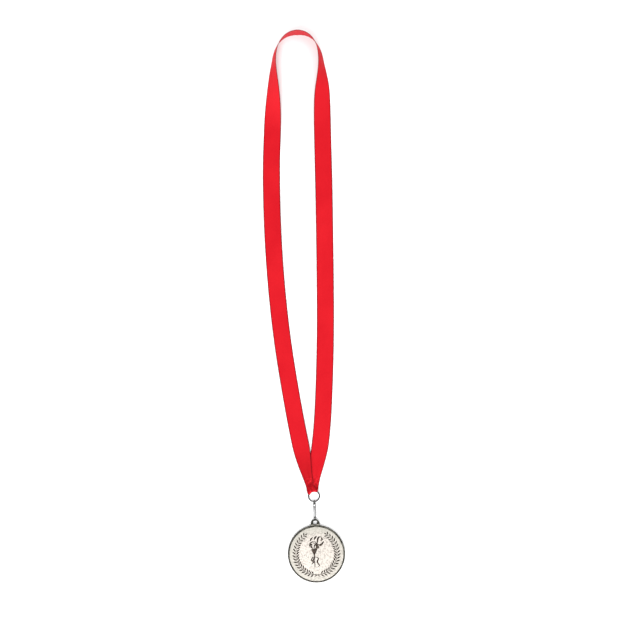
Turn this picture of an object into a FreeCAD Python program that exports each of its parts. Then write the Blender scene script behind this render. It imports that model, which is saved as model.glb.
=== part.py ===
import FreeCAD, Part
import math
import os
import Sketcher

# Sports finisher medal on a neck ribbon, lying flat, in millimetres.
# Origin: centre of the medal's back face. +Z is up, out of the medal's front.
# +Y runs from the medal past its bail, the clip and the ring, and up the ribbon's loop.

Vector = FreeCAD.Vector
doc = FreeCAD.newDocument("finisher_medal")

# ---------------------------------------------------------------- driving dimensions

DIMENSIONS = [
    ("medal_diameter", 50.0, "outside diameter of the medal"),
    ("medal_thickness", 2.7, "from the flat back to the top of the rim"),
    ("rim_width", 1.1, "raised rim at the medal's edge"),
    ("rim_round", 0.5, "rounding of the rim's outer corners"),
    ("field_recess", 0.35, "depth of the front field below the rim"),
    ("relief_height", 0.22, "height of the wreath and torch over the field"),
    ("wreath_radius", 18.0, "radius of the wreath's two stems"),
    ("leaf_length", 3.7, "one laurel leaf"),
    ("leaf_width", 1.0, "one laurel leaf"),
    ("leaf_step", 8.0, "degrees between leaf pairs"),
    ("leaf_pairs", 18, "leaf pairs on each branch"),
    ("stem_width", 0.36, "stem of each branch"),
    ("relief_root", 0.1, "how far the relief reaches below the field's surface"),
    ("bail_outer_radius", 3.9, "outside of the bail"),
    ("bail_centre_y", 26.4, "centre of the bail's outside arc"),
    ("bail_hole_diameter", 3.7, "hole for the clip's hook"),
    ("bail_hole_y", 27.5, "centre of that hole"),
    ("bail_thickness", 1.3, "bail, centred in the medal's thickness"),
    ("bail_round", 0.4, "rounding of the bail's edges"),
    ("bar_y", 29.85, "centre of the bail's top bar, where the hook turns"),
    ("ring_radius", 4.8, "ring, to the wire's centre"),
    ("wire_diameter", 1.0, "ring wire"),
    ("ring_y", 50.6, "ring centre"),
    ("strip_thickness", 0.4, "clip strip"),
    ("bend_radius", 1.05, "hook and eye, to the strip's centre"),
    ("plate_width", 2.3, "clip plate"),
    ("neck_width", 1.0, "hook, its neck and the eye"),
    ("tip_length", 1.6, "straight end of the hook past its bend"),
    ("rivet_y", 42.8, "rivet centre"),
    ("shank_diameter", 0.9, "rivet shank"),
    ("head_radius", 0.9, "rivet's front head"),
    ("head_dome", 0.35, "height of that head over the plate"),
    ("back_head_radius", 0.8, "rivet's flat head behind the gate leaf"),
    ("back_head_height", 0.25, "the same"),
    ("gap", 0.05, "least gap between the clip's stacked pieces"),
    ("leaf_spring_thickness", 0.25, "gate leaf"),
    ("leaf_spring_width", 1.7, "gate leaf"),
    ("ribbon_width", 15.0, "neck ribbon"),
    ("ribbon_thickness", 0.3, "neck ribbon"),
    ("gathered_width", 8.8, "ribbon where it is gathered at the ring"),
    ("gather_end_y", 52.0, "from the ring up to here the ribbon is fully gathered"),
    ("gather_start_y", 97.0, "beyond here it is at its full width"),
    ("fold_clearance", 0.15, "between the ring wire and the ribbon's fold"),
    ("thread_diameter", 0.3, "thread of the bar tack"),
]

sheet = doc.addObject("Spreadsheet::Sheet", "dimensions")
for row, (alias, value, meaning) in enumerate(DIMENSIONS, start=1):
    sheet.set(f"A{row}", alias)
    sheet.set(f"B{row}", str(value))
    sheet.set(f"C{row}", meaning)
    sheet.setAlias(f"B{row}", alias)
doc.recompute()


def size(alias):
    """Value of one spreadsheet cell, by its alias."""
    return float(sheet.get(alias))


MID_Z = size("medal_thickness") / 2
FIELD_Z = size("medal_thickness") - size("field_recess")
RELIEF_BASE_Z = FIELD_Z - size("relief_root")
RELIEF_DEPTH = "dimensions.relief_height + dimensions.relief_root"

# ---------------------------------------------------------------- helpers


def new_body(label):
    """A PartDesign body that will be written under this label."""
    body = doc.addObject("PartDesign::Body", label)
    body.Label = label
    return body


def new_sketch(body, name, role, height=0.0):
    """A sketch on one of the body's own origin planes, lifted by height along its normal."""
    sketch = body.newObject("Sketcher::SketchObject", name)
    plane = next(item for item in body.Origin.OriginFeatures if item.Role == role)
    sketch.AttachmentSupport = [(plane, "")]
    sketch.MapMode = "FlatFace"
    sketch.AttachmentOffset = FreeCAD.Placement(Vector(0, 0, height), FreeCAD.Rotation())
    return sketch


def add_line(sketch, start, end):
    """A straight edge between two points given as (x, y)."""
    return sketch.addGeometry(Part.LineSegment(Vector(*start), Vector(*end)), False)


def add_polygon(sketch, points):
    """A closed outline of straight edges."""
    for start, end in zip(points, points[1:] + points[:1]):
        add_line(sketch, start, end)


def add_arc(sketch, centre, radius, first_degrees, last_degrees):
    """An arc, counter-clockwise from the first angle to the last."""
    circle = Part.Circle(Vector(*centre), Vector(0, 0, 1), radius)
    first = math.radians(first_degrees)
    last = math.radians(last_degrees)
    return sketch.addGeometry(Part.ArcOfCircle(circle, first, last), False)


def add_circle(sketch, centre, radius):
    """A full circle."""
    return sketch.addGeometry(Part.Circle(Vector(*centre), Vector(0, 0, 1), radius), False)


def add_blade(sketch, start, end, left_bulge, right_bulge):
    """A pointed blade: two arcs from start to end, each bulging to its side of the chord."""
    chord = (end[0] - start[0], end[1] - start[1])
    length = math.hypot(*chord)
    side = (-chord[1] / length, chord[0] / length)
    middle = ((start[0] + end[0]) / 2, (start[1] + end[1]) / 2)
    for bulge in (left_bulge, -right_bulge):
        crown = (middle[0] + side[0] * bulge, middle[1] + side[1] * bulge)
        arc = Part.Arc(Vector(*start), Vector(*crown), Vector(*end))
        sketch.addGeometry(arc, False)


def bind_radius(sketch, geometry, expression):
    """A radius constraint on an arc or circle, driven by the spreadsheet."""
    radius = sketch.Geometry[geometry].Radius
    index = sketch.addConstraint(Sketcher.Constraint("Radius", geometry, radius))
    sketch.setExpression(f"Constraints[{index}]", expression)


def pad(body, name, sketch, expression, symmetric=False):
    """A pad whose length is driven by the spreadsheet."""
    feature = body.newObject("PartDesign::Pad", name)
    feature.Profile = sketch
    feature.setExpression("Length", expression)
    if symmetric:
        feature.SideType = "Symmetric"
    sketch.Visibility = False
    doc.recompute()
    return feature


def cut_through(body, name, sketch):
    """A pocket through everything on both sides of its sketch, which must remove something."""
    before = body.Shape.Volume
    feature = body.newObject("PartDesign::Pocket", name)
    feature.Profile = sketch
    feature.Type = "ThroughAll"
    feature.SideType = "Symmetric"
    sketch.Visibility = False
    doc.recompute()
    if body.Shape.Volume >= before:
        raise RuntimeError(f"{name} removed nothing")
    return feature


def revolve(body, name, sketch, degrees=360.0):
    """A revolution of the sketch about its own vertical axis."""
    feature = body.newObject("PartDesign::Revolution", name)
    feature.Profile = sketch
    feature.ReferenceAxis = (sketch, ["V_Axis"])
    feature.Angle = degrees
    sketch.Visibility = False
    doc.recompute()
    return feature


# ---------------------------------------------------------------- medal


def medal_blank(body):
    """The round blank: a flat back, and a recessed field inside a rounded rim in front."""
    radius = size("medal_diameter") / 2
    thickness = size("medal_thickness")
    recess = size("field_recess")
    rounding = size("rim_round")
    rim_inside = radius - size("rim_width")
    field_edge = rim_inside - recess
    sketch = new_sketch(body, "blank_profile", "XZ_Plane")
    add_line(sketch, (0, 0), (radius - rounding, 0))
    lower = add_arc(sketch, (radius - rounding, rounding), rounding, -90, 0)
    add_line(sketch, (radius, rounding), (radius, thickness - rounding))
    upper = add_arc(sketch, (radius - rounding, thickness - rounding), rounding, 0, 90)
    add_line(sketch, (radius - rounding, thickness), (rim_inside, thickness))
    add_line(sketch, (rim_inside, thickness), (field_edge, thickness - recess))
    add_line(sketch, (field_edge, thickness - recess), (0, thickness - recess))
    add_line(sketch, (0, thickness - recess), (0, 0))
    bind_radius(sketch, lower, "dimensions.rim_round")
    bind_radius(sketch, upper, "dimensions.rim_round")
    revolve(body, "blank", sketch)


def medal_bail(body):
    """The bail cast on the medal's edge, with its hole and rounded edges."""
    outer = size("bail_outer_radius")
    centre = size("bail_centre_y")
    foot = size("medal_diameter") / 2 - size("rim_width")
    sketch = new_sketch(body, "bail_outline", "XY_Plane", MID_Z)
    arc = add_arc(sketch, (0, centre), outer, 0, 180)
    add_line(sketch, (-outer, centre), (-outer, foot))
    add_line(sketch, (-outer, foot), (outer, foot))
    add_line(sketch, (outer, foot), (outer, centre))
    hole = add_circle(sketch, (0, size("bail_hole_y")), size("bail_hole_diameter") / 2)
    bind_radius(sketch, arc, "dimensions.bail_outer_radius")
    bind_radius(sketch, hole, "dimensions.bail_hole_diameter / 2")
    feature = pad(body, "bail", sketch, "dimensions.bail_thickness", symmetric=True)
    names = []
    for index, edge in enumerate(feature.Shape.Edges, start=1):
        flat = edge.BoundBox.ZLength < 1e-6
        on_bail = edge.BoundBox.YMin > size("medal_diameter") / 2
        if flat and on_bail and isinstance(edge.Curve, Part.Circle):
            names.append(f"Edge{index}")
    rounding = body.newObject("PartDesign::Fillet", "bail_rounding")
    rounding.Base = (feature, names)
    rounding.setExpression("Radius", "dimensions.bail_round")
    doc.recompute()


def medal_wreath(body):
    """Two laurel branches: one leaf pair of each, repeated round the medal's centre."""
    radius = size("wreath_radius")
    length = size("leaf_length")
    half_width = size("leaf_width") / 2
    step = size("leaf_step")
    pairs = int(size("leaf_pairs"))
    first = 259.0                      # polar angle of the left branch's lowest pair
    splay = 44.0                       # degrees between a leaf and its stem
    root = 0.35                        # a leaf starts this far beside the stem's centre
    sketch = new_sketch(body, "leaf_outline", "XY_Plane", RELIEF_BASE_Z)
    for polar, forward in ((first, -1), (540.0 - first + step * (pairs - 1), 1)):
        angle = math.radians(polar)
        for side in (-1, 1):
            start_radius = radius + side * root
            start = (start_radius * math.cos(angle), start_radius * math.sin(angle))
            heading = angle + forward * math.radians(90 - side * splay)
            end = (start[0] + length * math.cos(heading), start[1] + length * math.sin(heading))
            add_blade(sketch, start, end, half_width, half_width)
    leaf = pad(body, "leaf_pair", sketch, RELIEF_DEPTH)
    pattern = body.newObject("PartDesign::PolarPattern", "leaves")
    pattern.Originals = [leaf]
    pattern.Axis = (sketch, ["N_Axis"])
    pattern.Angle = step * (pairs - 1)
    pattern.setExpression("Occurrences", "dimensions.leaf_pairs")
    pattern.Reversed = True
    body.Tip = pattern
    doc.recompute()


def medal_stems(body):
    """The stem of each branch, which crosses the other below the torch."""
    radius = size("wreath_radius")
    half_width = size("stem_width") / 2
    for name, mirror in (("left_stem", 1), ("right_stem", -1)):
        sketch = new_sketch(body, name + "_outline", "XY_Plane", RELIEF_BASE_Z)
        ends = (118.0, 258.0) if mirror == 1 else (282.0, 422.0)
        inner = radius - half_width
        outer = radius + half_width
        add_arc(sketch, (0, 0), inner, *ends)
        add_arc(sketch, (0, 0), outer, *ends)
        top = math.radians(ends[0] if mirror == 1 else ends[1])
        low = math.radians(ends[1] if mirror == 1 else ends[0])
        add_line(sketch, (inner * math.cos(top), inner * math.sin(top)),
                 (outer * math.cos(top), outer * math.sin(top)))
        tail_inner = (mirror * 2.4, -19.0)
        tail_outer = (mirror * 2.2, -19.6)
        add_line(sketch, (inner * math.cos(low), inner * math.sin(low)), tail_inner)
        add_line(sketch, tail_inner, tail_outer)
        add_line(sketch, tail_outer, (outer * math.cos(low), outer * math.sin(low)))
        pad(body, name, sketch, RELIEF_DEPTH)


def medal_torch(body):
    """The torch: cup and handle, five flames and two streamers."""
    axis = -1.8                        # the torch stands a little left of the medal's centre
    flame_foot = 4.8
    streamer_foot = -2.6
    sketch = new_sketch(body, "torch_outline", "XY_Plane", RELIEF_BASE_Z)
    half = [(2.1, 4.3), (0.75, 0.5), (0.5, -2.2), (0.45, -11.8)]
    right = [(axis + x, y) for x, y in half]
    left = [(axis - x, y) for x, y in reversed(half)]
    add_polygon(sketch, right + left)
    pad(body, "torch", sketch, RELIEF_DEPTH)
    sketch = new_sketch(body, "flame_outline", "XY_Plane", RELIEF_BASE_Z)
    flames = [(-2.2, (-6.1, 8.1)), (-1.1, (-4.1, 13.4)), (0.0, (-0.1, 15.8)),
              (1.1, (4.3, 14.2)), (2.2, (6.6, 9.6))]
    for offset, tip in flames:
        add_blade(sketch, (axis + offset, flame_foot), tip, 0.85, 0.25)
    pad(body, "flames", sketch, RELIEF_DEPTH)
    sketch = new_sketch(body, "streamer_outline", "XY_Plane", RELIEF_BASE_Z)
    add_blade(sketch, (axis - 0.8, streamer_foot), (-4.6, -7.8), 0.2, 1.3)
    add_blade(sketch, (axis + 0.8, streamer_foot), (1.3, -10.4), 1.5, -0.5)
    pad(body, "streamers", sketch, RELIEF_DEPTH)


def medal_disc():
    """The whole medal, cast in one piece."""
    body = new_body("medal_disc")
    medal_blank(body)
    medal_bail(body)
    medal_wreath(body)
    medal_stems(body)
    medal_torch(body)
    return body


# ---------------------------------------------------------------- ring and clip


def ribbon_ring():
    """A round wire bent into a ring, its butted ends a hair apart inside the fold."""
    wire_span = 358.5                  # degrees of wire
    wire_start = 100.0                 # polar angle of its first end
    body = new_body("ribbon_ring")
    sketch = new_sketch(body, "wire_section", "XZ_Plane")
    wire = add_circle(sketch, (size("ring_radius"), MID_Z), size("wire_diameter") / 2)
    bind_radius(sketch, wire, "dimensions.wire_diameter / 2")
    revolve(body, "wire", sketch, wire_span)
    turn = FreeCAD.Rotation(Vector(0, 0, 1), wire_start)
    body.Placement = FreeCAD.Placement(Vector(0, size("ring_y"), 0), turn)
    return body


def clip_outline(sketch):
    """Edge-on outline of the strip: hook, plate, eye and the tail that returns under the plate."""
    half = size("strip_thickness") / 2
    bend = size("bend_radius")
    inside = bend - half
    outside = bend + half
    bar = size("bar_y")
    eye = size("ring_y") - size("ring_radius")
    tip = bar + size("tip_length")
    tail_end = size("rivet_y") - size("back_head_radius")
    tail_z = MID_Z + inside - half - size("gap")
    slant = math.sqrt(0.5)
    outer_turn = (eye - outside * slant, MID_Z - outside * slant)
    inner_turn = (eye - inside * slant, MID_Z - inside * slant)
    outer_bend = (outer_turn[0] - (tail_z - half - outer_turn[1]), tail_z - half)
    inner_bend = (inner_turn[0] - (tail_z + half - inner_turn[1]), tail_z + half)
    add_line(sketch, (tip, MID_Z - inside), (tip, MID_Z - outside))
    add_line(sketch, (tip, MID_Z - outside), (bar, MID_Z - outside))
    add_arc(sketch, (bar, MID_Z), outside, 90, 270)
    add_line(sketch, (bar, MID_Z + outside), (eye, MID_Z + outside))
    add_arc(sketch, (eye, MID_Z), outside, -135, 90)
    add_line(sketch, outer_turn, outer_bend)
    add_line(sketch, outer_bend, (tail_end, tail_z - half))
    add_line(sketch, (tail_end, tail_z - half), (tail_end, tail_z + half))
    add_line(sketch, (tail_end, tail_z + half), inner_bend)
    add_line(sketch, inner_bend, inner_turn)
    add_arc(sketch, (eye, MID_Z), inside, -135, 90)
    add_line(sketch, (eye, MID_Z + inside), (bar, MID_Z + inside))
    add_arc(sketch, (bar, MID_Z), inside, 90, 270)
    add_line(sketch, (bar, MID_Z - inside), (tip, MID_Z - inside))


def clip_hook():
    """The clip's one bent strip, narrowed at its hook and eye, with the rivet's hole."""
    body = new_body("clip_hook")
    sketch = new_sketch(body, "strip_outline", "YZ_Plane")
    clip_outline(sketch)
    pad(body, "strip", sketch, "dimensions.plate_width", symmetric=True)
    neck = size("neck_width") / 2
    plate = size("plate_width") / 2
    taper = 0.8                        # length of the slant between neck and plate
    margin = 3.0                       # the waste reaches this far past the strip
    beyond = plate + margin
    low = size("bar_y") - margin
    neck_end = size("bar_y") + size("tip_length")
    eye = size("ring_y") - size("ring_radius")
    eye_neck = eye - 0.9
    top = eye + margin
    sketch = new_sketch(body, "strip_waste", "XY_Plane")
    for side in (-1, 1):
        add_polygon(sketch, [(side * neck, low), (side * neck, neck_end),
                             (side * plate, neck_end + taper),
                             (side * beyond, neck_end + taper), (side * beyond, low)])
        add_polygon(sketch, [(side * neck, top), (side * neck, eye_neck),
                             (side * plate, eye_neck - taper),
                             (side * beyond, eye_neck - taper), (side * beyond, top)])
    rivet_fit = 0.03                   # play of the shank in the strip
    add_circle(sketch, (0, size("rivet_y")), size("shank_diameter") / 2 + rivet_fit)
    cut_through(body, "strip_trim", sketch)
    return body


def clip_rivet():
    """The rivet: a domed head on the plate and a flat one behind the gate leaf."""
    body = new_body("clip_rivet")
    shank = size("shank_diameter") / 2
    plate_top = MID_Z + size("bend_radius") + size("strip_thickness") / 2
    back = size("back_head_radius")
    back_top = MID_Z - size("gap")
    back_low = back_top - size("back_head_height")
    head = size("head_radius")
    dome = size("head_dome")
    sphere = (head * head + dome * dome) / (2 * dome)
    sketch = new_sketch(body, "rivet_profile", "XZ_Plane")
    add_line(sketch, (0, back_low), (back, back_low))
    add_line(sketch, (back, back_low), (back, back_top))
    add_line(sketch, (back, back_top), (shank, back_top))
    add_line(sketch, (shank, back_top), (shank, plate_top))
    add_line(sketch, (shank, plate_top), (head, plate_top))
    rise = math.degrees(math.acos(head / sphere))
    add_arc(sketch, (0, plate_top + dome - sphere), sphere, rise, 90)
    add_line(sketch, (0, plate_top + dome), (0, back_low))
    revolve(body, "rivet", sketch)
    body.Placement = FreeCAD.Placement(Vector(0, size("rivet_y"), 0), FreeCAD.Rotation())
    return body


def clip_gate():
    """The spring leaf: flat at the rivet, then slanting down to rest inside the hook's tip."""
    body = new_body("clip_gate")
    half = size("leaf_spring_thickness") / 2
    inside = size("bend_radius") - size("strip_thickness") / 2
    start_z = MID_Z + half + size("gap")
    end_gap = 0.07                     # between the leaf's free end and the hook's tip
    end_z = MID_Z - inside + end_gap + half
    start = size("rivet_y") + 0.55
    knee = size("rivet_y") - size("back_head_radius")
    end = size("bar_y") + 0.95
    sketch = new_sketch(body, "gate_outline", "YZ_Plane")
    add_polygon(sketch, [(start, start_z - half), (start, start_z + half), (knee, start_z + half),
                         (end, end_z + half), (end, end_z - half), (knee, start_z - half)])
    pad(body, "leaf", sketch, "dimensions.leaf_spring_width", symmetric=True)
    sketch = new_sketch(body, "gate_hole", "XY_Plane")
    shank_play = 0.12                  # lets the leaf rock at the rivet
    add_circle(sketch, (0, size("rivet_y")), size("shank_diameter") / 2 + shank_play)
    cut_through(body, "gate_clearance", sketch)
    return body


# ---------------------------------------------------------------- neck ribbon

# Centre line of the ribbon from its seam, up the left leg that lies on top, round the
# top of the loop and down the right leg. Each corner is rounded by a tangent arc.
ROUTE = [
    (-2.0, 59.6, 1.10), (-3.6, 67.0, 1.05), (-6.9, 80.0, 0.65), (-10.4, 99.0, 0.50),
    (-15.2, 131.0, 0.15), (-22.6, 192.0, 0.15), (-26.4, 262.0, 0.15), (-25.6, 332.0, 0.15),
    (-22.6, 372.0, 0.15), (-20.2, 403.0, 5.00), (-19.6, 425.0, 7.30), (-16.7, 443.2, 7.50),
    (-6.0, 454.6, 7.65), (11.2, 454.6, 7.65), (21.6, 442.6, 7.50), (23.3, 420.0, 7.00),
    (22.1, 398.5, 2.60), (21.2, 370.0, 0.15), (20.3, 318.0, 0.15), (18.5, 253.0, 0.15),
    (16.2, 190.0, 0.15), (12.0, 131.0, 0.15), (8.3, 99.0, 0.15), (4.2, 80.0, 0.20),
    (0.9, 67.0, 0.60), (-0.2, 59.6, 0.80),
]
LEAN_FROM_Y = 345.0                    # beyond this the ribbon rises on its outer edge
CORNER_REACH = 0.45                    # share of the shorter run that each arc takes up
STATION_STEP = 9.0                     # most degrees between sections on an arc


def ribbon_width_at(y):
    """Full width on the legs, gathered towards the ring."""
    full = size("ribbon_width")
    narrow = size("gathered_width")
    gathered = size("gather_end_y")
    share = min(max((y - gathered) / (size("gather_start_y") - gathered), 0.0), 1.0)
    return narrow + (full - narrow) * share * share * (3 - 2 * share)


def ribbon_lean(point):
    """Angle between the ribbon and the floor: its outer edge stays on the floor."""
    if point.y < LEAN_FROM_Y:
        return 0.0
    rise = (point.z - size("ribbon_thickness") / 2) / (size("ribbon_width") / 2)
    return math.asin(min(max(rise, 0.0), 1.0))


def rounded_route(points):
    """Stations (point, direction) along straight runs joined by tangent arcs, and the length."""
    corners = [Vector(*point) for point in points]
    directions = [(b - a).normalize() for a, b in zip(corners, corners[1:])]
    runs = [(b - a).Length for a, b in zip(corners, corners[1:])]
    stations = [(corners[0], directions[0])]
    length = 0.0
    radii = []
    for index in range(1, len(corners) - 1):
        before = directions[index - 1]
        after = directions[index]
        turn = before.getAngle(after)
        reach = CORNER_REACH * min(runs[index - 1], runs[index])
        radius = reach / math.tan(turn / 2)
        radii.append(radius)
        start = corners[index] - before * reach
        inward = (after - before * math.cos(turn)).normalize()
        steps = max(2, math.ceil(math.degrees(turn) / STATION_STEP))
        length += (start - stations[-1][0]).Length + radius * turn
        for step in range(steps + 1):
            angle = turn * step / steps
            offset = before * (radius * math.sin(angle)) + inward * (radius * (1 - math.cos(angle)))
            direction = before * math.cos(angle) + inward * math.sin(angle)
            stations.append((start + offset, direction))
    length += (corners[-1] - stations[-1][0]).Length
    stations.append((corners[-1], directions[-1]))
    print("ribbon arc radii, mm:", [round(radius, 1) for radius in radii])
    return stations, length


def ribbon_section(point, direction):
    """Rectangular cross-section of the ribbon at one station, as a closed wire."""
    across = direction.cross(Vector(0, 0, 1)).normalize()
    up = across.cross(direction)
    lean = ribbon_lean(point)
    wide = across * math.cos(lean) + up * math.sin(lean)
    thick = wide.cross(direction)
    wide = wide * (ribbon_width_at(point.y) / 2)
    thick = thick * (size("ribbon_thickness") / 2)
    signs = ((-1, -1), (1, -1), (1, 1), (-1, 1), (-1, -1))
    return Part.makePolygon([point + wide * a + thick * b for a, b in signs])


def ribbon_fold():
    """The gathered ends: folded together round the ring's wire and merged behind it."""
    wire = size("wire_diameter") / 2 + size("fold_clearance")
    stack = 2 * size("ribbon_thickness")
    centre = size("ring_radius")
    outside = wire + stack
    low = MID_Z - outside
    merged = low + 2 * stack
    slope_end = centre + 4.0           # behind this the two halves lie flat together
    back = centre + 7.4                # end of the sewn tab
    pinch = 0.4                        # the space behind the wire closes this far before that
    mouth = 0.12                       # and has this much height left at its end

    def place(radius, height):
        return Vector(radius, 0, height)

    outline = [
        Part.LineSegment(place(back, low), place(centre, low)),
        Part.Arc(place(centre, low), place(centre - outside, MID_Z), place(centre, MID_Z + outside)),
        Part.LineSegment(place(centre, MID_Z + outside), place(slope_end, merged)),
        Part.LineSegment(place(slope_end, merged), place(back, merged)),
        Part.LineSegment(place(back, merged), place(back, low)),
    ]
    tunnel_end = slope_end - pinch
    tunnel_low = MID_Z - wire
    tunnel = [
        Part.LineSegment(place(tunnel_end, tunnel_low), place(centre, tunnel_low)),
        Part.Arc(place(centre, tunnel_low), place(centre - wire, MID_Z), place(centre, MID_Z + wire)),
        Part.LineSegment(place(centre, MID_Z + wire), place(tunnel_end, tunnel_low + mouth)),
        Part.LineSegment(place(tunnel_end, tunnel_low + mouth), place(tunnel_end, tunnel_low)),
    ]
    solids = []
    for edges in (outline, tunnel):
        face = Part.Face(Part.Wire([edge.toShape() for edge in edges]))
        solids.append(face.revolve(Vector(0, 0, 0), Vector(0, 0, 1), 180))
    shell = solids[0].cut(solids[1])
    shell.translate(Vector(0, size("ring_y"), 0))
    plan = [(-4.9, 52.0), (-5.6, 55.6), (-6.6, 60.0), (-7.4, 63.5), (4.5, 63.5), (4.0, 60.0),
            (3.8, 55.6), (3.5, 53.2), (0.0, 52.4)]
    below = -1.0
    height = 6.0
    plan_face = Part.Face(Part.makePolygon([Vector(x, y, below) for x, y in plan + plan[:1]]))
    return shell.common(plan_face.extrude(Vector(0, 0, height)))


def neck_ribbon():
    """One closed strip: both legs, the turn at the top and the fold at the ring."""
    stations, length = rounded_route(ROUTE)
    sections = [ribbon_section(point, direction) for point, direction in stations]
    strip = Part.makeLoft(sections, True, True)
    expected = length * size("ribbon_width") * size("ribbon_thickness")
    print(f"ribbon route {length:.1f} mm")
    print(f"strip volume {strip.Volume:.0f} mm3, width x thickness x length {expected:.0f} mm3")
    feature = doc.addObject("Part::Feature", "neck_ribbon")
    feature.Label = "neck_ribbon"
    feature.Shape = strip.fuse(ribbon_fold()).removeSplitter()
    feature.Placement = FreeCAD.Placement()
    return feature


def ribbon_stitching():
    """The bar tack: two rows of short thread stitches on top of the merged ribbon ends."""
    radius = size("thread_diameter") / 2
    stack = 4 * size("ribbon_thickness")
    low = MID_Z - size("wire_diameter") / 2 - size("fold_clearance") - stack / 2
    first_x = -4.8
    pitch = 1.75
    length = 1.3
    stitches = []
    for row_y in (60.3, 61.5):
        for index in range(5):
            start = Vector(first_x + index * pitch, row_y, low + stack + radius)
            stitches.append(Part.makeCylinder(radius, length, start, Vector(1, 0, 0)))
    feature = doc.addObject("Part::Feature", "ribbon_stitching")
    feature.Label = "ribbon_stitching"
    feature.Shape = Part.makeCompound(stitches)
    feature.Placement = FreeCAD.Placement()
    return feature


# ---------------------------------------------------------------- build, check and write

PARTS = [medal_disc(), ribbon_ring(), clip_hook(), clip_rivet(), clip_gate(), neck_ribbon(),
         ribbon_stitching()]

doc.recompute()
for item in doc.Objects:
    if "Invalid" in item.State or "Error" in item.State:
        raise RuntimeError(f"{item.Name} failed: {item.State}")
for part in PARTS:
    if part.Shape.isNull() or not part.Shape.isValid():
        raise RuntimeError(f"{part.Label} has no valid shape")
    box = part.Shape.BoundBox
    print(f"{part.Label}: {part.Shape.Volume:.1f} mm3, {len(part.Shape.Solids)} solid(s), "
          f"x {box.XMin:.2f}..{box.XMax:.2f} y {box.YMin:.2f}..{box.YMax:.2f} "
          f"z {box.ZMin:.2f}..{box.ZMax:.2f}")

os.makedirs("parts", exist_ok=True)
for part in PARTS:
    part.Shape.exportStep(f"parts/{part.Label}.step")
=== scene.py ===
import math

import bmesh
import bpy
import numpy as np
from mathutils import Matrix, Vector


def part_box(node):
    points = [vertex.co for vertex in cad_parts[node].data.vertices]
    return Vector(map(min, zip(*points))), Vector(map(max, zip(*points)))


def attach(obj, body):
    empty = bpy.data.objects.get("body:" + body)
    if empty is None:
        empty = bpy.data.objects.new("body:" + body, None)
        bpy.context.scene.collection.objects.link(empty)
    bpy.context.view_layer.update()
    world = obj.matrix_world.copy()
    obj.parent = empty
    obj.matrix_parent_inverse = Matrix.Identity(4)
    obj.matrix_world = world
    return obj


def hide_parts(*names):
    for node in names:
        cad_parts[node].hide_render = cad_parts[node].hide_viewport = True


# Looks of the sports finisher medal, in metres, in the CAD model's frame: the medal's back
# lies at the origin, +Z is up and +Y runs up the ribbon's loop.

MM = 0.001

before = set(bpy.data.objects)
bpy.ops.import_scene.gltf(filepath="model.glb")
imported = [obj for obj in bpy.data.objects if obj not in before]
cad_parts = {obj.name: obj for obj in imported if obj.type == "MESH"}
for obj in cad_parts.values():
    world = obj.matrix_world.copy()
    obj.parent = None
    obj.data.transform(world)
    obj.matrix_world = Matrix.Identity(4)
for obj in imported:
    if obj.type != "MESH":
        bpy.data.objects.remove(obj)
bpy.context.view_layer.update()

MEDAL_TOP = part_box("medal_disc")[1].z
MID_Z = MEDAL_TOP / 2                    # the bail, hook and ring lie in this plane
RING_LOW, RING_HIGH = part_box("ribbon_ring")
WIRE_RADIUS = (RING_HIGH.z - RING_LOW.z) / 2
RING_CENTRE = np.array([0.0, (RING_LOW.y + RING_HIGH.y) / 2, MID_Z])
RING_RADIUS = (RING_HIGH.y - RING_LOW.y) / 2 - WIRE_RADIUS
MEDAL_RADIUS = 25.0 * MM
FIELD_Z = MEDAL_TOP - 0.35 * MM          # both fields lie below the rim
BACK_FIELD_Z = 0.12 * MM
FIELD_EDGE = 23.55 * MM

# ---------------- mesh helpers


def add_object(name, data):
    """A new object in the scene."""
    made = bpy.data.objects.new(name, data)
    bpy.context.scene.collection.objects.link(made)
    return made


class Shell:
    """Gathers grids of points into one mesh."""

    def __init__(self):
        self.vertices = []
        self.faces = []
        self.uvs = []

    def add_grid(self, points, uvs=None, close_rows=False, caps=True):
        """points[row][column]; each row is a closed section, joined to the next row."""
        rows, columns = points.shape[:2]
        if uvs is None:
            uvs = np.zeros((rows, columns, 2))
        first = len(self.vertices)
        self.vertices.extend(points.reshape(-1, 3).tolist())
        self.uvs.extend(uvs.reshape(-1, 2).tolist())
        for row in range(rows if close_rows else rows - 1):
            here = first + row * columns
            after = first + (row + 1) % rows * columns
            for column in range(columns):
                right = (column + 1) % columns
                self.faces.append((here + column, here + right, after + right, after + column))
        if caps and not close_rows:
            self.faces.append(tuple(first + column for column in reversed(range(columns))))
            last = first + (rows - 1) * columns
            self.faces.append(tuple(last + column for column in range(columns)))

    def build(self, name, material, body, crease_degrees):
        """The finished object, smooth except at its creases, riding on a CAD body."""
        mesh = bpy.data.meshes.new(name)
        mesh.from_pydata(self.vertices, [], self.faces)
        layer = mesh.uv_layers.new(name="UVMap")
        corners = np.zeros(len(mesh.loops), np.int32)
        mesh.loops.foreach_get("vertex_index", corners)
        layer.data.foreach_set("uv", np.array(self.uvs, np.float32)[corners].ravel())
        work = bmesh.new()
        work.from_mesh(mesh)
        bmesh.ops.recalc_face_normals(work, faces=work.faces)
        work.to_mesh(mesh)
        work.free()
        mesh.polygons.foreach_set("use_smooth", [True] * len(mesh.polygons))
        mesh.set_sharp_from_angle(angle=math.radians(crease_degrees))
        mesh.materials.append(material)
        obj = add_object(name, mesh)
        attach(obj, body)
        return obj


def smooth_step(value):
    """0 below 0, 1 above 1, and smooth between."""
    value = np.clip(value, 0.0, 1.0)
    return value * value * (3 - 2 * value)


def unit(vectors):
    """Each vector divided by its length."""
    return vectors / np.linalg.norm(vectors, axis=-1, keepdims=True)


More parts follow.
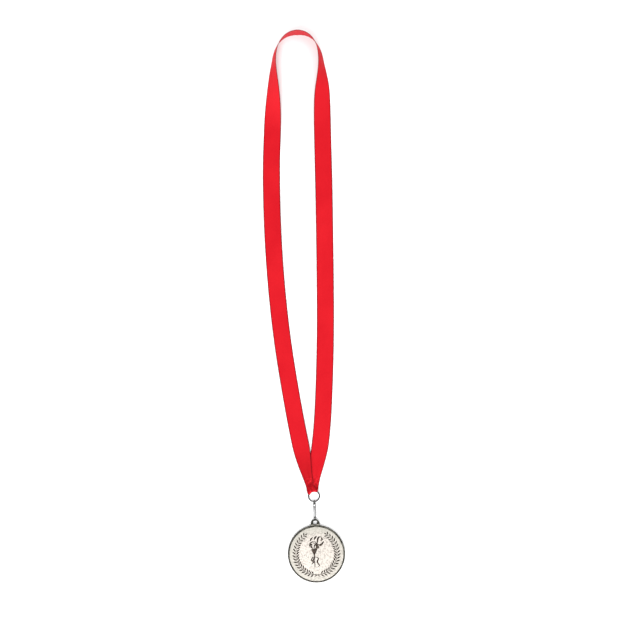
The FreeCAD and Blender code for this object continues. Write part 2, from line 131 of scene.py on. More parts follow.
def rounded_rectangle(half_width, half_height, rounding, steps=4):
    """Closed outline of (across, up) points, counter-clockwise."""
    points = []
    for quarter, (side_x, side_y) in enumerate(((1, 1), (-1, 1), (-1, -1), (1, -1))):
        for step in range(steps + 1):
            angle = math.radians(90 * quarter + 90 * step / steps)
            points.append((side_x * (half_width - rounding) + rounding * math.cos(angle),
                           side_y * (half_height - rounding) + rounding * math.sin(angle)))
    return np.array(points)


def arc_points(centre, radius, first_degrees, last_degrees, count):
    """Points along an arc in a plane."""
    angles = np.radians(np.linspace(first_degrees, last_degrees, count))
    return np.array(centre) + radius * np.stack([np.cos(angles), np.sin(angles)], axis=1)


def smooth_line(control, count):
    """The Catmull-Rom line through a few 2-D or 3-D points, with count points to each span."""
    control = np.array(control, float)
    padded = np.vstack([2 * control[0] - control[1], control, 2 * control[-1] - control[-2]])
    points = []
    for index in range(1, len(padded) - 2):
        before, start, end, after = padded[index - 1:index + 3]
        for share in np.linspace(0, 1, count, endpoint=False):
            points.append(0.5 * (2 * start + (end - before) * share
                                 + (2 * before - 5 * start + 4 * end - after) * share ** 2
                                 + (3 * start - before - 3 * end + after) * share ** 3))
    points.append(control[-1])
    return np.array(points)


# ---------------- materials


class Paint:
    """A material under construction: one Principled shader and the nodes that feed it."""

    def __init__(self, name, color, metallic=0.0, roughness=0.5, **constants):
        self.material = bpy.data.materials.new(name)
        self.material.use_nodes = True
        self.tree = self.material.node_tree
        self.shader = self.tree.nodes["Principled BSDF"]
        self.shader.inputs["Base Color"].default_value = (*color, 1)
        self.shader.inputs["Metallic"].default_value = metallic
        self.shader.inputs["Roughness"].default_value = roughness
        for socket, value in constants.items():
            self.shader.inputs[socket.replace("_", " ")].default_value = value

    def node(self, kind, **settings):
        """A node with properties set by name and inputs set by capitalised name."""
        made = self.tree.nodes.new("ShaderNode" + kind)
        for key, value in settings.items():
            if key[0].isupper():
                made.inputs[key.replace("_", " ")].default_value = value
            else:
                setattr(made, key, value)
        return made

    def link(self, source, target):
        self.tree.links.new(source, target)

    def put(self, socket, value):
        """A link where value is an output, else a constant."""
        if isinstance(value, bpy.types.NodeSocket):
            self.link(value, socket)
        elif isinstance(value, tuple):
            socket.default_value = (*value, 1)
        else:
            socket.default_value = value

    # vectors

    def scaled(self, vector, scale):
        """A vector multiplied by scale."""
        made = self.node("Mapping", Scale=scale)
        self.link(vector, made.inputs["Vector"])
        return made.outputs["Vector"]

    def coordinates(self, scale=(1, 1, 1)):
        """The piece's own coordinates, in metres, multiplied by scale."""
        return self.scaled(self.node("TexCoord").outputs["Object"], scale)

    def parts(self, vector):
        """A vector's X, Y and Z."""
        made = self.node("SeparateXYZ")
        self.link(vector, made.inputs["Vector"])
        return made.outputs["X"], made.outputs["Y"], made.outputs["Z"]

    def distance(self, vector, place=(0.0, 0.0, 0.0)):
        """How far a vector is from a place."""
        made = self.node("VectorMath", operation="DISTANCE")
        made.inputs[1].default_value = place
        self.link(vector, made.inputs[0])
        return made.outputs["Value"]

    # numbers

    def math(self, operation, first, second=0.0, third=0.0):
        made = self.node("Math", operation=operation)
        for socket, value in zip(made.inputs, (first, second, third)):
            self.put(socket, value)
        return made.outputs["Value"]

    def noise(self, vector, scale, detail=3.0, roughness=0.55):
        made = self.node("TexNoise", Scale=scale, Detail=detail, Roughness=roughness)
        self.link(vector, made.inputs["Vector"])
        return made.outputs["Fac"]

    def wave(self, value, pitch):
        """A sine wave from 0 to 1."""
        sine = self.math("SINE", self.math("MULTIPLY", value, 2 * math.pi / pitch))
        return self.math("MULTIPLY_ADD", sine, 0.5, 0.5)

    def spread(self, value, low, high):
        """A 0 to 1 value mapped to a range."""
        made = self.node("MapRange", To_Min=low, To_Max=high)
        self.link(value, made.inputs["Value"])
        return made.outputs["Result"]

    def between(self, value, start, end):
        """0 where value is at start, 1 where it is at end, and even between."""
        made = self.node("MapRange", From_Min=start, From_Max=end)
        self.link(value, made.inputs["Value"])
        return made.outputs["Result"]

    def smooth(self, value, start, end):
        """0 where value is at start, 1 where it is at end, and smooth between."""
        ends = (0.0, 1.0) if start < end else (1.0, 0.0)
        made = self.node("MapRange", interpolation_type="SMOOTHSTEP", From_Min=min(start, end),
                         From_Max=max(start, end), To_Min=ends[0], To_Max=ends[1])
        self.link(value, made.inputs["Value"])
        return made.outputs["Result"]

    # colours

    def ramp(self, value, stops):
        """Colours by value: stops are (position, colour)."""
        made = self.node("ValToRGB")
        elements = made.color_ramp.elements
        while len(elements) < len(stops):
            elements.new(0.5)
        for element, (position, color) in zip(elements, stops):
            element.position = position
            element.color = (*color, 1)
        self.link(value, made.inputs["Fac"])
        return made.outputs["Color"]

    def mix(self, share, first, second):
        """The first colour where share is 0 and the second where it is 1."""
        made = self.node("Mix", data_type="RGBA")
        for name, value in (("Factor", share), ("A", first), ("B", second)):
            self.put(made.inputs[name], value)
        return made.outputs["Result"]

    def tint(self, base, share, strength, color):
        """base with strength of a colour in it where share is 1."""
        return self.mix(self.math("MULTIPLY", share, strength), base, color)

    # the shader's inputs

    def color(self, value):
        self.link(value, self.shader.inputs["Base Color"])

    def rough(self, value):
        self.link(value, self.shader.inputs["Roughness"])

    def bump(self, height, distance, strength):
        """Relief added to what the shader's normal already has."""
        made = self.node("Bump", Strength=strength, Distance=distance)
        self.link(height, made.inputs["Height"])
        previous = self.shader.inputs["Normal"].links
        if previous:
            self.link(previous[0].from_socket, made.inputs["Normal"])
        self.link(made.outputs["Normal"], self.shader.inputs["Normal"])


RIBBON_WIDTH = 15.0 * MM
SELVEDGE = 0.65 * MM
RIB_PITCH = 0.42 * MM
WARP_PITCH = 0.24 * MM
TURNING_Y = (366.0 * MM, 405.0 * MM)     # the ribbon turns up on its edge between these
CREASE_SHADE_Y = (70.0 * MM, 62.5 * MM)      # painted crease shade and highlights reach full strength below these
LEFT_SHADE_SPAN = (60.0 * MM, 18.0 * MM)        # painted shade darkens it towards the ring between these
RIGHT_SHADE_SPAN = (24.0 * MM, 12.0 * MM)       # distances from its left and its right end


def ribbon_material(total):
    """Red polyester ribbon, total long: fine cross ribs, finer warp threads and dark selvedges.

    The ribbon's back, whose places across run on past the width, is painted a paler red as painted
    sheen."""
    paint = Paint("ribbon_red", (0.37, 0.004, 0.008), roughness=0.6, Sheen_Weight=0.05,
                  Sheen_Roughness=0.3, Sheen_Tint=(0.85, 0.08, 0.12, 1), Specular_IOR_Level=0.05)
    here = paint.coordinates()
    x, y, _ = paint.parts(here)
    uv = paint.node("UVMap", uv_map="UVMap").outputs["UV"]
    along, place, _ = paint.parts(uv)
    back = paint.math("GREATER_THAN", place, RIBBON_WIDTH)
    across = paint.math("MODULO", place, RIBBON_WIDTH)

    # the weave
    rib = paint.wave(along, RIB_PITCH)
    warp = paint.wave(across, WARP_PITCH)
    yarn = paint.noise(paint.scaled(uv, (2600, 300, 1)), 1.0, 2.0, 0.5)
    broad = paint.noise(here, 28.0, 2.0)
    base = paint.ramp(broad, [(0.30, (0.390, 0.0034, 0.0088)), (0.70, (0.450, 0.0066, 0.0120))])
    base = paint.tint(base, yarn, 0.35, (0.26, 0.0012, 0.0045))
    base = paint.tint(base, rib, 0.18, (0.21, 0.0008, 0.0035))

    # painted highlight: lighter where it turns up on its edge, most of all on the left leg
    turned = paint.smooth(y, *TURNING_Y)
    highlight_by_leg = paint.spread(paint.math("LESS_THAN", x, 0.0), 0.12, 0.45)
    base = paint.mix(paint.math("MULTIPLY", turned, highlight_by_leg), base, (0.62, 0.018, 0.026))
    # painted sheen: the back is painted a paler red
    base = paint.tint(base, back, 0.85, (0.50, 0.036, 0.046))

    # painted shade: darker towards the ring, in the shade of the fold
    left_shade = paint.math("MULTIPLY", paint.smooth(along, *LEFT_SHADE_SPAN), 0.45)
    right_end = (total - distance for distance in RIGHT_SHADE_SPAN)
    right_shade = paint.math("MULTIPLY", paint.smooth(along, *right_end), 0.6)
    base = paint.mix(paint.math("MAXIMUM", left_shade, right_shade), base, (0.18, 0.0002, 0.0012))

    # painted shade in small creases and painted highlights on their ridges, just above the ring
    crumple = paint.noise(here, 520.0, 2.0, 0.6)
    gathered = paint.smooth(y, *CREASE_SHADE_Y)
    crease_shade = paint.math("MULTIPLY", paint.smooth(crumple, 0.50, 0.38), gathered)
    crease_highlight = paint.math("MULTIPLY", paint.smooth(crumple, 0.54, 0.66), gathered)
    base = paint.tint(base, crease_shade, 0.50, (0.11, 0.0001, 0.0008))
    base = paint.tint(base, crease_highlight, 0.60, (0.58, 0.014, 0.026))

    # the selvedges
    half = RIBBON_WIDTH / 2
    off_centre = paint.math("ABSOLUTE", paint.math("SUBTRACT", across, half))
    edge = paint.smooth(off_centre, half - SELVEDGE * 1.3, half - SELVEDGE * 0.7)
    base = paint.tint(base, edge, 0.80, (0.055, 0.0006, 0.0030))

    paint.color(base)
    paint.rough(paint.spread(yarn, 0.52, 0.72))
    paint.bump(rib, 0.05 * MM, 0.7)
    paint.bump(warp, 0.02 * MM, 0.5)
    paint.bump(yarn, 0.02 * MM, 0.4)
    return paint.material


def thread_material():
    """Twisted red sewing thread."""
    paint = Paint("thread_red", (0.24, 0.002, 0.006), roughness=0.6, Specular_IOR_Level=0.05)
    wave = paint.node("TexWave", bands_direction="DIAGONAL", Scale=3.0, Distortion=1.5)
    paint.link(paint.coordinates((900, 900, 900)), wave.inputs["Vector"])
    twist = wave.outputs["Fac"]
    paint.color(paint.ramp(twist, [(0.2, (0.17, 0.0006, 0.003)), (0.8, (0.32, 0.002, 0.006))]))
    paint.bump(twist, 0.03 * MM, 0.6)
    return paint.material


def field_material():
    """Warm silver plating on a finely sandblasted field."""
    paint = Paint("medal_field_silver", (0.44, 0.40, 0.36), metallic=1.0, roughness=0.5)
    here = paint.coordinates()
    grain = paint.noise(here, 3800.0, 3.0, 0.7)
    blotch = paint.noise(here, 750.0, 3.0, 0.65)
    cloud = paint.noise(here, 110.0, 3.0)
    pits = paint.ramp(grain, [(0.30, (0.45, 0.45, 0.45)), (0.48, (0, 0, 0))])
    base = paint.ramp(blotch, [(0.38, (0.165, 0.152, 0.138)), (0.52, (0.350, 0.325, 0.297))])
    base = paint.tint(base, cloud, 0.4, (0.380, 0.348, 0.316))
    base = paint.mix(pits, base, (0.17, 0.157, 0.136))

    # darker and mottled towards the rim; the darkening at the upper left is painted shade of the
    # field's reflection
    x, y, _ = paint.parts(here)
    outer = paint.smooth(paint.distance(here), 15.0 * MM, 23.0 * MM)
    to_corner = paint.math("SUBTRACT", y, x)
    corner = paint.math("MULTIPLY_ADD", to_corner, 1 / (2 * MEDAL_RADIUS), 0.45)
    rim_mottle_and_shade = paint.math("MULTIPLY", paint.math("MULTIPLY", outer, corner), blotch)
    rim_mottle_and_shade = paint.math("MAXIMUM", paint.math("MULTIPLY", rim_mottle_and_shade, 0.7), 0.0)
    base = paint.mix(rim_mottle_and_shade, base, (0.22, 0.22, 0.19))
    base = paint.tint(base, outer, 0.36, (0.27, 0.265, 0.238))
    spots = paint.ramp(paint.noise(here, 420.0, 3.0, 0.7), [(0.40, (1, 1, 1)), (0.56, (0, 0, 0))])
    base = paint.tint(base, paint.math("MULTIPLY", outer, spots), 0.45, (0.17, 0.165, 0.14))

    paint.color(base)
    paint.rough(paint.spread(grain, 0.42, 0.62))
    paint.bump(grain, 0.05 * MM, 0.55)
    paint.bump(blotch, 0.05 * MM, 0.25)
    return paint.material


EDGE_REFLECTION_DIMMED = (0.25, 0.25, 0.24, 1)     # painted shade: the metal's reflection is dimmed where it is seen edge-on


def antique_reflection_material(name, dark, worn, side=None):
    """Blackened plating rubbed bright in places, its dark colour also a painted reflection of dark
    surroundings; side is a painted highlight colour for the medal's upright edge.
    """
    roughness = 0.32
    paint = Paint(name, dark, metallic=1.0, roughness=roughness, Specular_Tint=EDGE_REFLECTION_DIMMED)
    here = paint.coordinates()
    rub = paint.noise(here, 900.0, 4.0, 0.6)
    broad = paint.noise(here, 130.0, 2.0)
    rubbed = paint.math("MULTIPLY", rub, paint.math("MULTIPLY_ADD", broad, 0.8, 0.6))
    tone = paint.mix(paint.ramp(rubbed, [(0.42, (0, 0, 0)), (0.72, (1, 1, 1))]), dark, worn)
    if side:
        from_axis = paint.distance(paint.coordinates((1, 1, 0)))
        # painted highlight on the medal's upright edge
        upright_highlight = paint.smooth(from_axis, MEDAL_RADIUS - 0.10 * MM, MEDAL_RADIUS - 0.02 * MM)
        tone = paint.tint(tone, upright_highlight, 0.8, side)
    paint.color(tone)
    paint.rough(paint.spread(rub, roughness - 0.08, roughness + 0.14))
    paint.bump(rub, 0.02 * MM, 0.3)
    return paint.material


def bail_material():
    """The bail's blackened arch, its dark colour also a painted reflection of dark surroundings,
    lighter where its foot meets the rim.
    """
    dark, worn = (0.020, 0.020, 0.016), (0.085, 0.080, 0.070)
    paint = Paint("medal_bail_antique_reflection", dark, metallic=1.0, roughness=0.34,
                  Specular_Tint=EDGE_REFLECTION_DIMMED)
    here = paint.coordinates()
    rub = paint.noise(here, 900.0, 4.0, 0.6)
    tone = paint.mix(paint.ramp(rub, [(0.55, (0, 0, 0)), (0.8, (1, 1, 1))]), dark, worn)
    foot = paint.smooth(paint.distance(here), MEDAL_RADIUS + 1.2 * MM, MEDAL_RADIUS + 0.7 * MM)
    tone = paint.tint(tone, foot, 0.6, (0.24, 0.23, 0.20))
    paint.color(tone)
    paint.rough(paint.spread(rub, 0.26, 0.46))
    paint.bump(rub, 0.02 * MM, 0.3)
    return paint.material


def steel_material(name, color, roughness, streaks, edge_tint=(1, 1, 1, 1)):
    """Plated steel with fine drawing lines; streaks scales the noise along X, Y and Z."""
    paint = Paint(name, color, metallic=1.0, roughness=roughness, Specular_Tint=edge_tint)
    line = paint.noise(paint.coordinates(streaks), 1.0, 3.0, 0.6)
    stain = paint.noise(paint.coordinates(), 600.0, 3.0)
    darker = tuple(channel * 0.72 for channel in color)
    lighter = tuple(min(channel * 1.12, 0.95) for channel in color)
    base = paint.ramp(line, [(0.3, darker), (0.7, lighter)])
    paint.color(paint.tint(base, stain, 0.25, darker))
    paint.rough(paint.spread(line, roughness - 0.08, roughness + 0.12))
    paint.bump(line, 0.01 * MM, 0.35)
    return paint.material


# places of the clip's painted shade and highlight:
PLATE_SHADE_Y = (32.2 * MM, 44.6 * MM)         # a tone starts at the first of a pair
HOOK_SHADE_Y = (33.4 * MM, 32.3 * MM)          # and is full at the second
EYE_SHADE_Y = (43.9 * MM, 44.6 * MM)
OVER_RING_HIGHLIGHT_Y = (45.4 * MM, 46.0 * MM)
RIGHT_SIDE_SHADE_X = (0.50 * MM, 1.00 * MM)
LEFT_SIDE_SHADE_X = (-0.95 * MM, -1.12 * MM)
RIVET_PLACE = (0.0, 42.8 * MM, 2.6 * MM)


def clip_material():
    """Nickelled strip, with painted light and shade: the plate darker towards the eye, the hook and
    eye painted dark as in shade.
    """
    paint = Paint("clip_satin_steel", (0.5, 0.5, 0.5), metallic=1.0, roughness=0.3,
                  Specular_Tint=EDGE_REFLECTION_DIMMED)
    here = paint.coordinates()
    x, y, _ = paint.parts(here)
    line = paint.noise(paint.coordinates((9000, 400, 9000)), 1.0, 3.0, 0.6)
    stain = paint.noise(here, 700.0, 3.0)

    # painted shade: the plate darkens from the hook to the eye, round the rivet and at its sides
    tone = paint.ramp(paint.between(y, *PLATE_SHADE_Y), [
        (0.05, (0.29, 0.29, 0.295)), (0.45, (0.26, 0.26, 0.265)), (0.78, (0.10, 0.10, 0.10)),
        (0.95, (0.07, 0.07, 0.07))])
    from_rivet = paint.distance(here, RIVET_PLACE)
    tone = paint.tint(tone, paint.smooth(from_rivet, 1.7 * MM, 1.1 * MM), 0.75, (0.05, 0.05, 0.05))
    tone = paint.tint(tone, line, 0.30, (0.17, 0.17, 0.17))
    tone = paint.tint(tone, stain, 0.25, (0.10, 0.10, 0.097))
    tone = paint.tint(tone, paint.smooth(x, *RIGHT_SIDE_SHADE_X), 0.8, (0.07, 0.07, 0.068))
    tone = paint.tint(tone, paint.smooth(x, *LEFT_SIDE_SHADE_X), 0.6, (0.12, 0.12, 0.118))

    # painted shade on the hook and the eye, and a painted highlight where the eye passes over the
    # ring
    hook = paint.smooth(y, *HOOK_SHADE_Y)
    eye = paint.smooth(y, *EYE_SHADE_Y)
    tone = paint.tint(tone, paint.math("MAXIMUM", hook, eye), 0.93, (0.012, 0.012, 0.010))
    tone = paint.tint(tone, paint.smooth(y, *OVER_RING_HIGHLIGHT_Y), 0.9, (0.14, 0.14, 0.135))

    paint.color(tone)
    paint.rough(paint.spread(line, 0.22, 0.42))
    paint.bump(line, 0.01 * MM, 0.35)
    return paint.material


def floor_material():
    """Plain white studio surface."""
    return Paint("floor_white", (0.71, 0.71, 0.713), roughness=0.85,
                 Specular_IOR_Level=0.1).material


# ---------------- neck ribbon

# The ribbon's route, as in the CAD part: from the seam up the left leg, round the top of the
# loop and down the right leg to the seam again.
ROUTE = [
    (-0.0020, 0.0596, 0.00110), (-0.0036, 0.0670, 0.00105), (-0.0069, 0.0800, 0.00065),
    (-0.0104, 0.0990, 0.00050), (-0.0152, 0.1310, 0.00015), (-0.0226, 0.1920, 0.00015),
    (-0.0264, 0.2620, 0.00015), (-0.0256, 0.3320, 0.00015), (-0.0226, 0.3720, 0.00015),
    (-0.0202, 0.4030, 0.00500), (-0.0196, 0.4250, 0.00730), (-0.0167, 0.4432, 0.00750),
    (-0.0060, 0.4546, 0.00765), (0.0112, 0.4546, 0.00765), (0.0216, 0.4426, 0.00750),
    (0.0233, 0.4200, 0.00700), (0.0221, 0.3985, 0.00260), (0.0212, 0.3700, 0.00015),
    (0.0203, 0.3180, 0.00015), (0.0185, 0.2530, 0.00015), (0.0162, 0.1900, 0.00015),
    (0.0120, 0.1310, 0.00015), (0.0083, 0.0990, 0.00015), (0.0042, 0.0800, 0.00020),
    (0.0009, 0.0670, 0.00060), (-0.0002, 0.0596, 0.00080),
]
RIBBON_THICKNESS = 0.28 * MM
LYING_Z = 0.15 * MM                      # height of the route where the ribbon lies flat
GATHERED_WIDTH = 8.8 * MM
GATHER_END_Y = 52.0 * MM
GATHER_START_Y = 97.0 * MM
LEAN_FROM_Y = 345.0 * MM
PULL = 6.0 * MM                          # how stiffly the ribbon leaves the ring's wire
TAB_X, TAB_Y = -1.0 * MM, 63.2 * MM      # middle of the sewn-down ends' upper edge
TAB_HALF_WIDTH = 4.7 * MM
FOLDS = {                                # 1 is the left leg and -1 the right, which lies inside:
    1: (160.0, 62.0, 1.04 * MM),         # the stretch of the ring's wire that each wraps, in
    -1: (150.0, 50.0, 0.72 * MM),        # degrees, and its radius about the wire
}


def spline_points(route):
    """Points along the smooth NURBS line whose control points are the route."""
    curve = bpy.data.curves.new("ribbon_route", "CURVE")
    curve.dimensions = "3D"
    curve.resolution_u = 44
    spline = curve.splines.new("NURBS")
    spline.points.add(len(route) - 1)
    for point, place in zip(spline.points, route):
        point.co = (*place, 1)
    spline.order_u = 3
    spline.use_endpoint_u = True
    holder = add_object("ribbon_route", curve)
    line = bpy.data.meshes.new_from_object(holder)
    points = np.array([vertex.co for vertex in line.vertices])
    bpy.data.objects.remove(holder)
    bpy.data.meshes.remove(line)
    return points


def lengthwise(points):
    """Distance of each point from the first, along the line."""
    steps = np.linalg.norm(np.diff(points, axis=0), axis=1)
    return np.concatenate([[0.0], np.cumsum(steps)])


def across_shares():
    """Places across the ribbon from -1 to 1, close together at the edges."""
    inner = np.linspace(-0.93, 0.93, 29)
    return np.concatenate([[-1.0, -0.985, -0.96], inner, [0.96, 0.985, 1.0]])


def leg_surface(points, shares):
    """Middle surface of the free ribbon, one row of points for each place along the route."""
    direction = unit(np.gradient(points, axis=0))
    level = unit(np.cross(direction, [0.0, 0.0, 1.0]))
    upward = np.cross(level, direction)
    rise = np.clip((points[:, 2] - LYING_Z) / (RIBBON_WIDTH / 2), 0, 1)
    lean = np.where(points[:, 1] < LEAN_FROM_Y, 0.0, np.arcsin(rise))[:, None]
    wide = level * np.cos(lean) + upward * np.sin(lean)
    spread = smooth_step((points[:, 1] - GATHER_END_Y) / (GATHER_START_Y - GATHER_END_Y))
    half = (GATHERED_WIDTH + (RIBBON_WIDTH - GATHERED_WIDTH) * spread) / 2
    return points[:, None, :] + wide[:, None, :] * half[:, None, None] * shares[None, :, None]


def blend_rows(start, start_slope, end, end_slope, count):
    """Rows of points that leave one row and meet another smoothly."""
    rows = []
    for share in np.linspace(0, 1, count, endpoint=False):
        rows.append(start * (2 * share ** 3 - 3 * share ** 2 + 1)
                    + start_slope * (share ** 3 - 2 * share ** 2 + share)
                    + end * (3 * share ** 2 - 2 * share ** 3)
                    + end_slope * (share ** 3 - share ** 2))
    return rows


def fold_rows(first_row, slope, shares, side):
    """Rows from the sewn-down end, under the wire, round it and up to the leg's first row.

    side is 1 where positive shares lie to the right, -1 where they lie to the left."""
    leftmost, rightmost, layer_radius = FOLDS[side]
    angle = np.radians((leftmost + rightmost) / 2 - side * shares * (leftmost - rightmost) / 2)
    outward = np.stack([np.cos(angle), np.sin(angle), np.zeros_like(angle)], axis=1)
    turned = []
    for turn in np.radians(np.linspace(270.0, 90.0, 15)):
        reach = RING_RADIUS + layer_radius * math.cos(turn)
        height = np.array([0, 0, layer_radius * math.sin(turn)])
        turned.append(RING_CENTRE + outward * reach + height)
    tab = np.stack([TAB_X + side * shares * TAB_HALF_WIDTH, np.full_like(shares, TAB_Y),
                    np.full_like(shares, MID_Z - layer_radius)], axis=1)
    return (blend_rows(tab, np.array([0, -PULL, 0]), turned[0], -outward * PULL, 10)
            + turned[:-1]
            + blend_rows(turned[-1], outward * PULL, first_row, slope * PULL, 16))


def pleats(surface, raised):
    """Raises the gathered ribbon into creases that run towards the ring, the same on both legs."""
    y = surface[..., 1] / MM
    stations = [52, 56, 60, 65, 73, 82, 90]
    centre = np.interp(y, stations, [-0.6, -0.8, -1.1, -1.6, -1.5, -1.2, -1.3])
    half = np.interp(y, stations, [4.4, 5.0, 6.2, 7.4, 10.5, 13.0, 15.0])
    height = np.interp(y, [52, 55, 57, 60, 62, 66, 71, 78, 90],
                       [0.03, 0.10, 0.28, 0.04, 0.20, 0.70, 0.65, 0.35, 0.0])
    place = (surface[..., 0] / MM - centre) / half
    crease = 0.5 + 0.5 * np.cos(2 * math.pi * (1.15 * place + 0.12))
    finer = 0.5 + 0.5 * np.cos(2 * math.pi * (2.7 * place + 0.4))
    surface[..., 2] += np.where(raised, height * (0.75 * crease + 0.25 * finer), 0.0) * MM


def ribbon_surface():
    """Middle surface of the whole ribbon, the route's points and how many rows the fold takes."""
    shares = across_shares()
    points = spline_points(ROUTE)
    legs = leg_surface(points, shares)
    y = legs[..., 1] / MM
    is_left = (np.arange(len(points)) < len(points) / 2)[:, None]

    # the left leg's inner edge is lifted over the right leg and drawn in above the ring
    over = smooth_step((shares + 0.2) / 1.2)[None, :]
    lift = over * np.interp(y, [60, 66, 80, 98, 125], [0.0, 0.5, 0.9, 0.8, 0.0])
    legs[..., 2] += np.where(is_left, lift, 0.0) * MM
    tuck = 2.4 * smooth_step((94.0 - y) / 34.0) * smooth_step((shares + 0.3) / 1.3)[None, :]
    legs[..., 0] -= np.where(is_left, tuck, 0.0) * MM

    # both legs rise and tilt a little where they lie free
    travel = lengthwise(points)[:, None] / MM
    free = np.interp(y, [95, 140, 330, 372], [0, 1, 1, 0])
    swell = 0.45 * (1 + np.sin(travel / 17.0)) * (0.6 + 0.4 * np.sin(travel / 41.0 + 1.0))
    tilt = 0.35 * (1 + shares[None, :] * np.sin(travel / 29.0 + 0.7))
    legs[..., 2] += free * (swell + tilt) * MM

    start_slope = unit(points[1] - points[0])
    end_slope = unit(points[-2] - points[-1])
    start = np.array(fold_rows(legs[0], start_slope, shares, 1))
    end = np.array(fold_rows(legs[-1], end_slope, shares, -1))[::-1]
    pleats(legs, True)
    for fold in (start, end):
        pleats(fold, fold[..., 2] > MID_Z)
    return np.concatenate([start, legs, end]), points, len(start)


def neck_ribbon():
    """The ribbon as one closed strip of woven cloth with a slightly thicker selvedge."""
    surface, points, fold_count = ribbon_surface()
    shares = across_shares()
    along = np.gradient(surface, axis=0)
    across = np.gradient(surface, axis=1)
    normals = unit(np.cross(across, along))
    edge = np.abs(shares)                # the cloth swells at the selvedge, then thins
    body = np.where(edge > 0.99, 0.3, np.where(edge > 0.98, 0.8, np.where(edge > 0.94, 1.12, 1.0)))
    offset = normals * (RIBBON_THICKNESS / 2 * body)[None, :, None]
    upper = surface + offset
    lower = (surface - offset)[:, ::-1]
    travel = lengthwise(surface[:, len(shares) // 2])
    place = (shares + 1) / 2 * RIBBON_WIDTH
    places = np.concatenate([place, 2 * RIBBON_WIDTH - place[::-1]])
    uvs = np.stack(np.broadcast_arrays(travel[:, None], places[None, :]), axis=2)
    shell = Shell()
    shell.add_grid(np.concatenate([upper, lower], axis=1), uvs)
    material = ribbon_material(float(travel[-1]))
    ribbon = shell.build("neck_ribbon_cloth", material, "ribbon", 60.0)
    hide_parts("neck_ribbon")
    return ribbon, points, upper, fold_count


def stitching(upper, fold_count, material):
    """The bar tack: close slanting stitches across the gathered ribbon, just above the ring."""
    stitches = 17
    slant = 0.05                         # as a share of half the ribbon's width
    thread = rounded_rectangle(0.10 * MM, 0.10 * MM, 0.099 * MM, 2)
    # rows of the ribbon and heights over them: each stitch sinks into the cloth at both ends
    stations = [(fold_count - 3, 0.02), (fold_count, 0.10),
                (fold_count + 3, 0.10), (fold_count + 6, 0.02)]
    shell = Shell()
    shares = across_shares()
    for place in np.linspace(-0.78, 0.78, stitches):
        line = []
        for index, (row, height) in enumerate(stations):
            share = place + slant * index / (len(stations) - 1)
            point = [np.interp(share, shares, upper[row, :, axis]) for axis in range(3)]
            line.append(np.array(point) + np.array([0, 0, height * MM]))
        line = smooth_line(line, 3)
        direction = unit(np.gradient(line, axis=0))
        side = unit(np.cross(direction, [0.0, 0.0, 1.0]))
        up = np.cross(side, direction)
        shell.add_grid(line[:, None, :] + side[:, None, :] * thread[None, :, :1]
                       + up[:, None, :] * thread[None, :, 1:])
    tack = shell.build("bar_tack_thread", material, "ribbon", 60.0)
    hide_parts("ribbon_stitching")
    return tack


# ---------------- ring and clip


def ribbon_ring(material):
    """The wire ring, with its butted ends under the ribbon's fold."""
    gap_end, gap_start = 101.5, 459.0    # where the wire starts and ends, in degrees
    angles = np.radians(np.linspace(gap_end, gap_start, 145))
    outward = np.stack([np.cos(angles), np.sin(angles), np.zeros_like(angles)], axis=1)
    section = rounded_rectangle(WIRE_RADIUS, WIRE_RADIUS, WIRE_RADIUS * 0.999, 5)
    points = (RING_CENTRE + outward * RING_RADIUS)[:, None, :]
    points = points + outward[:, None, :] * section[None, :, :1]
    points = points + np.array([0.0, 0.0, 1.0]) * section[None, :, 1:]
    shell = Shell()
    shell.add_grid(points)
    ring = shell.build("split_ring_wire", material, "ring", 50.0)
    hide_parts("ribbon_ring")


def strip_sweep(path, widths, thickness, rounding):
    """Sections of a flat strip bent along a path of (y, z) points, with a width at each."""
    direction = unit(np.gradient(path, axis=0))
    normal = np.stack([-direction[:, 1], direction[:, 0]], axis=1)
    sections = []
    for (y, z), (normal_y, normal_z), width in zip(path, normal, widths):
        outline = rounded_rectangle(width / 2, thickness / 2, rounding)
        sections.append([(across, y + up * normal_y, z + up * normal_z) for across, up in outline])
    return np.array(sections)


def clip_hook(material):
    """The clip's strip: hook round the bail's bar, plate, eye round the ring and hidden tail."""
    bend = 1.05 * MM                     # radius of the strip's middle in hook and eye
    thickness = 0.4 * MM
    bar = (29.85 * MM, MID_Z)
    eye = (RING_CENTRE[1] - RING_RADIUS, MID_Z)
    clearance = 0.05 * MM
    tail_z = MID_Z + bend - thickness - clearance
    tip = np.linspace((bar[0] + 1.6 * MM, MID_Z - bend), (bar[0], MID_Z - bend), 6)
    hook = arc_points(bar, bend, 270, 90, 26)
    plate = np.linspace((bar[0], MID_Z + bend), (eye[0], MID_Z + bend), 50)
    curl = arc_points(eye, bend, 90, -135, 30)
    rise = tail_z - curl[-1][1]
    knee = (curl[-1][0] - rise, tail_z)
    slant = np.linspace(curl[-1], knee, 7)
    tail_end_y = 42.0 * MM
    tail = np.linspace(knee, (tail_end_y, tail_z), 6)
    path = np.concatenate([tip[:-1], hook[:-1], plate[:-1], curl[:-1], slant[:-1], tail])
    y = path[:, 0] / MM
    stations = [31.40, 31.55, 31.9, 32.15, 32.35, 43.9, 44.1, 44.4, 44.75, 44.9]
    widths = np.interp(y, stations, [1.0, 1.15, 1.85, 2.2, 2.3, 2.3, 2.2, 1.85, 1.15, 1.0]) * MM
    shell = Shell()
    shell.add_grid(strip_sweep(path, widths, thickness, 0.09 * MM))
    hook_piece = shell.build("clip_strip", material, "clip", 45.0)
    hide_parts("clip_hook")


def lathe(shell, profile, centre, segments, close=True):
    """A profile of (radius, z) points turned about a vertical axis."""
    angles = np.linspace(0, 2 * math.pi, segments, endpoint=False)
    x, y = np.cos(angles), np.sin(angles)
    rows = [np.stack([centre[0] + radius * x, centre[1] + radius * y, np.full(segments, z)], axis=1)
            for radius, z in profile]
    shell.add_grid(np.array(rows), caps=close)


